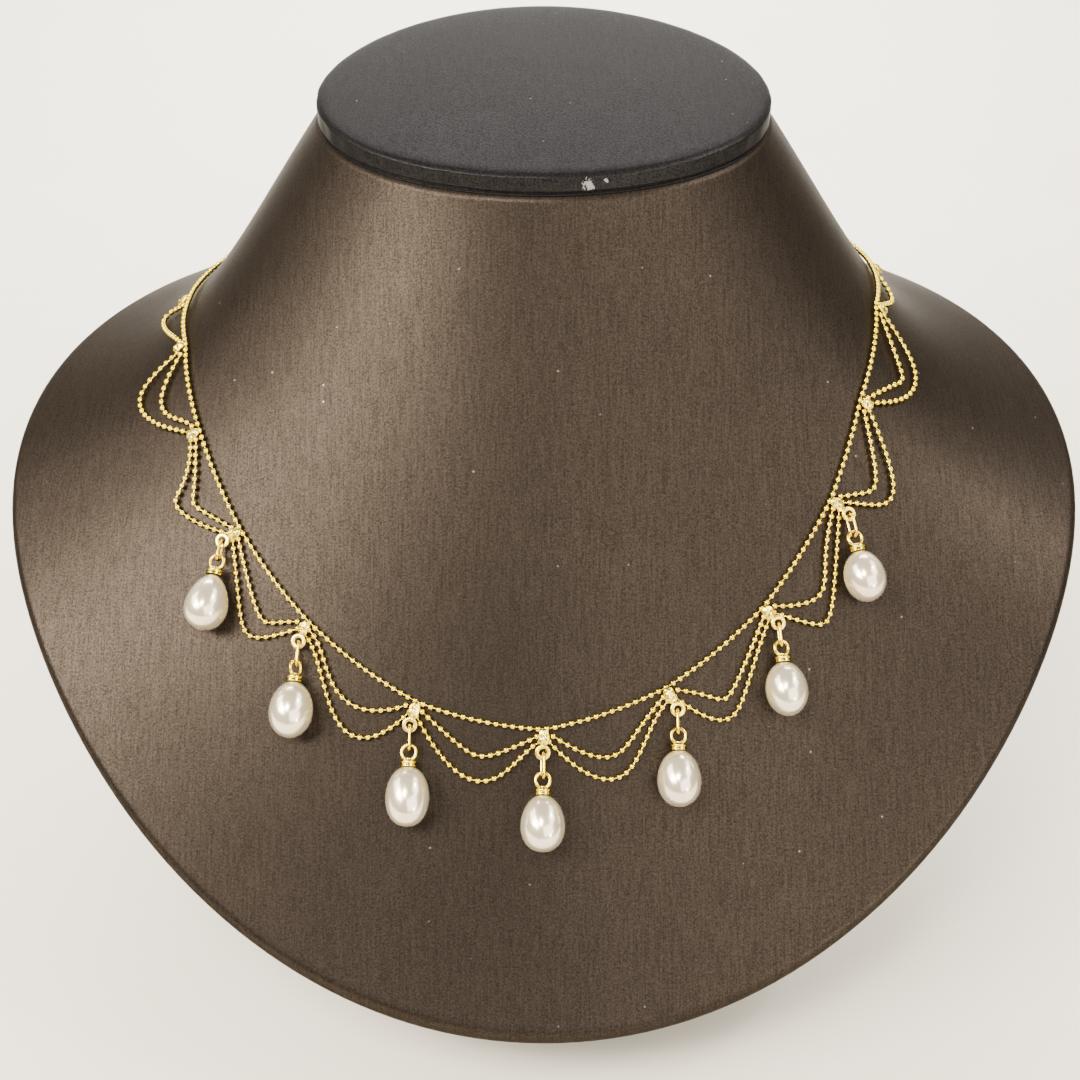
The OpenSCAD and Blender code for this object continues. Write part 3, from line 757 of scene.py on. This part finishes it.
def ball_chain(places):
    """Beads spread evenly along a route on the skin, and the wire that runs through them. Each bead
    is a coarse ball whose poles lie along the run. It is a little larger than the real one, so that
    it looks as full, and its size varies a little by clipped normal draws."""
    line = above_skin(places, CHAIN_H)
    gone = np.concatenate([[0], np.cumsum(np.linalg.norm(np.diff(line, axis=0), axis=1))])
    count = max(int(round((gone[-1] - BEAD_D) / BEAD_PITCH)) + 1, 2)
    at = np.linspace(BEAD_D / 2, gone[-1] - BEAD_D / 2, count)
    middle = along_line(line, gone, at)
    run = unit(along_line(line, gone, at + BEAD_AIM) - along_line(line, gone, at - BEAD_AIM))
    side = unit(np.cross(run, UP))
    up = np.cross(side, run)
    ball, quads, tris = bead_shape()
    size = BEAD_D / 2 * (BEAD_SWELL + BEAD_VARIES * chance.standard_normal(count).clip(-1.5, 0.5))
    turned_ball = ball @ np.stack([run, side, up], 1)
    points = middle[:, None] + size[:, None, None] * turned_ball
    shift = (np.arange(count) * len(ball))[:, None, None]
    quads, tris = (quads + shift).reshape(-1, 4), (tris + shift).reshape(-1, 3)
    beads = (points.reshape(-1, 3), quads, tris)
    path = along_line(line, gone, np.linspace(0, gone[-1], 2 * count + 1))
    wire = tube(path, CONNECTING_WIRE / 2, 6, skin_normal(places[0, 0], places[0, 1]))
    return [outward(beads), wire]


# Stations and drops


# Across, outwards and share of the height of each blob of solder
SOLDER_BLOBS = [(0.25, -0.75, 0.5), (-0.3, -0.2, 0.6), (0.3, 0.1, 0.55), (0.05, 0.8, 1.0)]
BLOB_SPREAD, BLOB_RISE = 0.27, 0.36
# How far the solder reaches past the plate's sides, and its height and depth without the blobs
SOLDER_REACH, SOLDER_RISE, SOLDER_DEPTH = 0.22, 0.22, 0.45
# Power of the ring's section, how far its middle moves in, and its width and thickness
RING_SQUARE, RING_IN, RING_WIDE, RING_THICK = 0.7, 0.02, RING_WIRE + 0.06, RING_WIRE - 0.08
LOOP_WIRE = RING_WIRE - 0.04
# Depth of the pearl's growth rings and of its waves twice and three times round, and what it is
# slimmed by so that they stay near the solid
GROWTH_RING, TWOFOLD, THREEFOLD, SLIMMED = 0.012, 0.025, 0.018, 0.03


def solder_pad(out_reach, ring_along, wobble):
    """Solder run over the chains. Its outline is a long round form that leans towards the ring. Its
    height falls off steeply at the edge and swells over a few blobs, each a Gaussian, as where
    beads have melted in."""
    turn = np.linspace(0, 2 * np.pi, 48, endpoint=False)[None, :]
    s = np.linspace(0.05, 1, 16)[:, None]
    half_l = (PLATE_IN + out_reach) / 2
    wavy = 1 + 0.07 * np.cos(3 * turn + wobble) + 0.05 * np.cos(5 * turn + 2 * wobble)
    x = (PLATE_W / 2 + SOLDER_REACH) * wavy * s * np.sign(np.cos(turn)) * abs(np.cos(turn)) ** 0.8
    y = (PLATE_IN - out_reach) / 2 + half_l * s * np.sin(turn)
    x = x + ring_along * np.clip(-y / out_reach, 0, 1) * 0.5
    blobs = 0
    for across, outwards, tall in SOLDER_BLOBS:
        across = across * math.cos(2.1 * wobble) + ring_along * 0.5 * max(outwards, 0) / out_reach
        blobs = blobs + tall * np.exp(-((x - across) ** 2 + (y + outwards) ** 2) / (2 * BLOB_SPREAD**2))
    dome = (1 - s**4) ** 0.5
    top = vec(x, y, PLATE_H - PLATE_T / 2 + dome * (SOLDER_RISE + BLOB_RISE * blobs))
    under = vec(x, y, PLATE_H - PLATE_T / 2 - SOLDER_DEPTH * dome)[:-1]
    rows = np.concatenate([top, under[::-1]])
    return outward(capped_grid(rows, rows[0].mean(0), rows[-1].mean(0)))


def at_station(i, part):
    """Carries a part from a station's own frame to its place on the skin."""
    along, out, up = station_frame(i)
    return placed(part, above_skin(station_place(i), 0), along, -out, up)


def drop_frame(n):
    """The middle of a drop's ring, the drop's axis downwards, its sideways direction and the one off
    the skin. The axis runs down the skin, turned by the drop's swing, and leans off the skin by
    the angle whose sine leaves the rest gap under the pearl."""
    i = FIRST_DROP + n
    along, out, up = station_frame(i)
    down = unit(-UP + up[2] * up)
    hang = cosd(SWING[n]) * down - sind(SWING[n]) * np.cross(up, down)
    lean = np.degrees(np.arcsin((PEARL_W[n] / 2 + REST_GAP - RING_H) / (PEARL_TOP[n] + PEARL_L[n] / 2)))
    axis = cosd(lean) * hang + sind(lean) * up
    face = unit(up - (up @ axis) * axis)
    centre = above_skin(station_place(i), RING_H) + RING_OUT[n] * out + RING_ALONG[n] * along
    return centre, axis, np.cross(face, -axis), face


def at_drop(n, part, down, twist=0.0):
    """Carries a part to a distance down a drop's axis, twisted about it."""
    centre, axis, x, y = drop_frame(n)
    turned_x = cosd(twist) * x + sind(twist) * y
    turned_y = -sind(twist) * x + cosd(twist) * y
    return placed(part, centre + down * axis, turned_x, turned_y, -axis)


def collar_part():
    """The collar: a post, a rounded top disc, a fine groove and a slightly narrower cup below it."""
    r = COLLAR_D / 2
    profile = smooth_profile([
        [0, COLLAR_H + 0.3], [0.5, COLLAR_H + 0.26], [0.56, COLLAR_H + 0.05], [0.72, COLLAR_H - 0.08],
        [r * 0.78, COLLAR_H - 0.16], [r * 0.97, COLLAR_H - 0.3], [r, COLLAR_H - 0.46],
        [r * 0.97, COLLAR_H - 0.6], [r * 0.92, COLLAR_H - 0.68], [r * 0.92, COLLAR_H - 0.76],
        [r * 0.95, 0.2], [r * 0.95, 0.06], [r * 0.85, 0.03], [r * 0.4, 0.3], [0, 0.34]], 5)
    return turned(profile, 48)


def pearl_part(n, rows=72, cols=72):
    """A pearl hanging from its tip: half an ellipse that is fuller low down, turned about its axis.
    Faint sine rings fade away from the tip, and two slow waves run round all of it."""
    w, l, egg, full = PEARL_W[n], PEARL_L[n], PEARL_EGG[n], PEARL_FULL[n]
    tilt = np.linspace(0, 180, rows + 2)[1:-1, None]
    turn = np.linspace(0, 360, cols, endpoint=False)[None, :]
    r = w / 2 * sind(tilt) ** full * (1 - egg * cosd(tilt))
    rings = GROWTH_RING * np.sin(tilt * 0.55 + n) * np.exp(-(tilt / 55) ** 2)
    uneven = TWOFOLD * sind(2 * turn + 50 * n) * sind(tilt)
    uneven = uneven + THREEFOLD * sind(3 * turn + 1.7 * tilt + 90 * n) * sind(tilt) ** 2
    r = r + rings + uneven - SLIMMED * sind(tilt)
    points = vec(r * cosd(turn), r * sind(turn), l / 2 * (cosd(tilt) - 1) + 0 * turn)
    return outward(capped_grid(points, [0, 0, 0], [0, 0, -l]))


def clasp_part():
    """A plain spring ring with a cup on each side for the chain's ends."""
    up = skin_normal(180.0, CLASP_LEVEL)
    side = unit(skin_slopes(180.0, CLASP_LEVEL)[0])
    parts = [ring_part((CLASP_RING_D - CLASP_WIRE) / 2, CLASP_WIRE, CLASP_WIRE)]
    start, length = CLASP_RING_D / 2 - CLASP_WIRE * 0.7, CUP_REACH
    r = CUP_D / 2
    profile = [[0, start], [r * 0.7, start], [r * 0.75, start + 0.5], [r, start + 0.8],
               [r, length - 0.15], [r * 0.85, length - 0.02], [0, length - 0.02]]
    cup = turned(smooth_profile(profile, 4), 32)
    for end in (-1, 1):
        parts.append(placed(cup, [0, 0, 0], [0, 0, -end], [0, 1, 0], [end, 0, 0]))
    whole = joined([outward(p) for p in parts])
    at = above_skin(np.array([180.0, CLASP_LEVEL]), CHAIN_GAP + CLASP_WIRE / 2)
    return placed(whole, at, side, np.cross(up, side), up)


# Making the pieces
LIP_Y = NECK_Y - NECK_HALF_D + 0.3
# X, distance behind the lip's front, height, radius and raggedness of the worn chips
CHIPS = [
    (7.4, -0.2, 137.3, 1.0, 3.0),
    (10.3, 0.6, 137.9, 0.4, 2.0),
    (-11.8, 1.3, 138.2, 0.1, 1.2),
    (28.2, 9.5, 140.5, 0.3, 1.6),
    (36.2, 17.5, 142.0, 0.3, 1.8),
]
chips = [((x * MM, (LIP_Y + y) * MM, z * MM), r * MM, ragged * MM) for x, y, z, r, ragged in CHIPS]
skin_finish = leatherette("bust leatherette", SKIN_DEEP, SKIN_PALE, 0.24, 0.52)
cap_finish = leatherette("cap leatherette", CAP_DEEP, CAP_PALE, 0.15, 0.57, chips)
chain_gold = polished_gold("ball chain gold", (1.0, 0.77, 0.07), (0.78, 0.60, 0.06), 0.13, 0.24)
cast_gold = polished_gold("cap and link gold", (1.0, 0.77, 0.08), (0.84, 0.62, 0.04), 0.12, 0.23)
solder_gold = polished_gold("solder gold", (1.0, 0.84, 0.17), (1.0, 0.76, 0.09), 0.18, 0.32, 0.00005)
nacre = pearl_lustre("pearl lustre")
board_paint = painted_board("base board")

piece("bust_cover", bust_part(), skin_finish, "bust_body")
cap = piece("neck_cap_pad", cap_part(), cap_finish, "neck_cap")

piece("main_ball_chain", joined(ball_chain(main_places())), chain_gold, "main_chain")
for i in range(len(INNER)):
    strands = ball_chain(strand_places(inner_end(i, 1), INNER[i], inner_end(i + 1, -1)))
    if OUTER[i]:
        strands += ball_chain(strand_places(outer_end(i, 1), OUTER[i], outer_end(i + 1, -1)))
    piece(f"festoon_beads_{i + 1}", joined(strands), chain_gold, f"festoon_{i + 1}")

for k, i in enumerate(PLAIN_STATIONS):
    pad = at_station(i, solder_pad(PLATE_OUT, 0, k))
    piece(f"solder_pad_{k + 1}", pad, solder_gold, f"solder_joint_{k + 1}")

for n in range(len(DROPS)):
    ring = ring_part(RING_R - RING_IN, RING_WIDE, RING_THICK, RING_SQUARE)
    ring = placed(ring, [RING_ALONG[n], -RING_OUT[n], RING_H], [1, 0, 0], [0, 1, 0], [0, 0, 1])
    pad = solder_pad(max(PLATE_OUT, RING_OUT[n] - RING_R), RING_ALONG[n], n + 0.5)
    station = at_station(FIRST_DROP + n, joined([pad, ring]))
    piece(f"soldered_ring_{n + 1}", station, solder_gold, f"ring_station_{n + 1}")

    link = wire_oval(LINK_BEND_R, LINK_L - LINK_CUT[n] - LINK_W, LINK_WIRE)
    link = at_drop(n, link, LINK_MID[n], 90 + LINK_TWIST[n])
    piece(f"wire_link_{n + 1}", link, cast_gold, f"link_{n + 1}")

    loop = wire_oval(LOOP_R, LOOP_STRETCH, LOOP_WIRE)
    loop = at_drop(n, loop, LOOP_MID[n], CAP_TWIST[n])
    collar = at_drop(n, collar_part(), COLLAR_TOP[n] + COLLAR_H)
    pearl_cap = joined([loop, collar])
    piece(f"loop_and_collar_{n + 1}", pearl_cap, cast_gold, f"pearl_cap_{n + 1}")

    pearl = at_drop(n, pearl_part(n), PEARL_TOP[n])
    piece(f"pearl_drop_{n + 1}", pearl, nacre, f"pearl_{n + 1}")

piece("spring_ring_clasp", clasp_part(), cast_gold, "clasp")
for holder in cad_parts["base_board"].material_slots:
    holder.material = board_paint


# Floor, lamps and camera


FLOOR_FRONT, FLOOR_BACK, WALL_BEND, WALL_TOP, FLOOR_HALF_W = -1500, 450, 300, 1800, 2000
CAMERA_AT, CAMERA_TILT = (-0.7, -280 + NECK_Y, 211), 60


def sweep_floor():
    """A pale floor that curves up behind the bust: a straight run, a quarter circle and a wall."""
    bend = np.linspace(0, np.pi / 2, 24)
    corner = np.stack([FLOOR_BACK + WALL_BEND * np.sin(bend), WALL_BEND - WALL_BEND * np.cos(bend)], 1)
    run = np.concatenate([[[FLOOR_FRONT, 0]], corner, [[FLOOR_BACK + WALL_BEND, WALL_TOP]]])
    x = np.array([-FLOOR_HALF_W, FLOOR_HALF_W])
    points = vec(x[None, :], run[:, 0:1], run[:, 1:2])
    faces = grid_faces(len(run), 2, close_cols=False)
    mesh = bpy.data.meshes.new("pale_floor")
    mesh.from_pydata((points.reshape(-1, 3) * MM).tolist(), [], faces[:, ::-1].tolist())
    mesh.polygons.foreach_set("use_smooth", np.ones(len(mesh.polygons), bool))
    floor = bpy.data.objects.new("pale_floor", mesh)
    material, tree, main = shader("pale floor")
    cloud = noise(tree, object_place(tree), 12, 4, 0.6)
    height = add(tree, "ShaderNodeSeparateXYZ", [("Vector", object_place(tree))]).outputs["Z"]
    table = mix_colour(tree, cloud, (0.84, 0.77, 0.62), (0.92, 0.87, 0.76))
    wall = mix_colour(tree, cloud, (0.84, 0.83, 0.81), (0.88, 0.87, 0.86))
    shade = mix_colour(tree, spread(tree, height, 0.0, 0.25), table, wall)
    tree.links.new(shade, main.inputs["Base Color"])
    main.inputs["Roughness"].default_value = 0.6
    mesh.materials.append(material)
    bpy.context.scene.collection.objects.link(floor)


WHITE, WARM = (1, 1, 1), (1, 0.94, 0.85)
CHEST = np.array([0, -50, 60.0])
LAMP_REACH = 900
# Name, turn round the bust (0 in front, 90 at the viewer's right) and height angle, the lamp's width
# and height, its watts and its colour
LAMPS = [
    ("soft box left", -61, 40, (340, 340), 11.0, WARM),
    ("window", -20, 55, (220, 260), 7.5, WARM),
    ("window beside it", -41, 40, (260, 300), 5.6, WARM),
    ("soft box right", 31, 25, (850, 650), 9.4, WARM),
    ("soft box far right", 75, 46, (400, 400), 3.4, WARM),
    ("low lamp left", -94, 40, (400, 400), 4.0, WARM),
    ("rear lamp right", 110, 49, (300, 300), 1.5, WHITE),
    ("small lamp right", 87, 51, (80, 80), 2.0, WARM),
    ("small lamp front", 37, 5, (80, 80), 1.8, WARM),
]


def around_chest(turn, height):
    """A point at a turn and a height angle from the chest, at the lamps' reach."""
    way = np.array([sind(turn) * cosd(height), -cosd(turn) * cosd(height), sind(height)])
    return CHEST + LAMP_REACH * way


def lamp(name, at, aim, size, power, colour):
    """A soft oblong light at a point, aimed at another, both in millimetres."""
    light = bpy.data.lights.new(name, "AREA")
    light.shape = "RECTANGLE"
    light.size, light.size_y = size[0] * MM, size[1] * MM
    light.energy = power
    light.color = colour
    thing = bpy.data.objects.new(name, light)
    away = unit(np.array(at, float) - np.array(aim, float))
    side = unit(np.cross(UP, away))
    up = np.cross(away, side)
    turn = np.eye(4)
    turn[:3, 0], turn[:3, 1], turn[:3, 2], turn[:3, 3] = side, up, away, np.array(at) * MM
    thing.matrix_world = Matrix(turn.tolist())
    bpy.context.scene.collection.objects.link(thing)


sweep_floor()
for name, turn, height, size, power, colour in LAMPS:
    lamp(name, around_chest(turn, height), CHEST, size, power, colour)
lamp("background", (0, 420, 700), (0, 760, 300), (600, 200), 16.0, WHITE)

world = bpy.data.worlds.new("plain room")
world.use_nodes = True
world.node_tree.nodes["Background"].inputs["Color"].default_value = (0.9, 0.92, 0.96, 1)
world.node_tree.nodes["Background"].inputs["Strength"].default_value = 0.2
bpy.context.scene.world = world

lens = bpy.data.cameras.new("photo camera")
lens.sensor_width, lens.lens, lens.clip_start = 36, 50, 0.01
camera = bpy.data.objects.new("photo camera", lens)
camera.location = [v * MM for v in CAMERA_AT]
camera.rotation_euler = (math.radians(CAMERA_TILT), 0, 0)
bpy.context.scene.collection.objects.link(camera)
bpy.context.scene.camera = camera
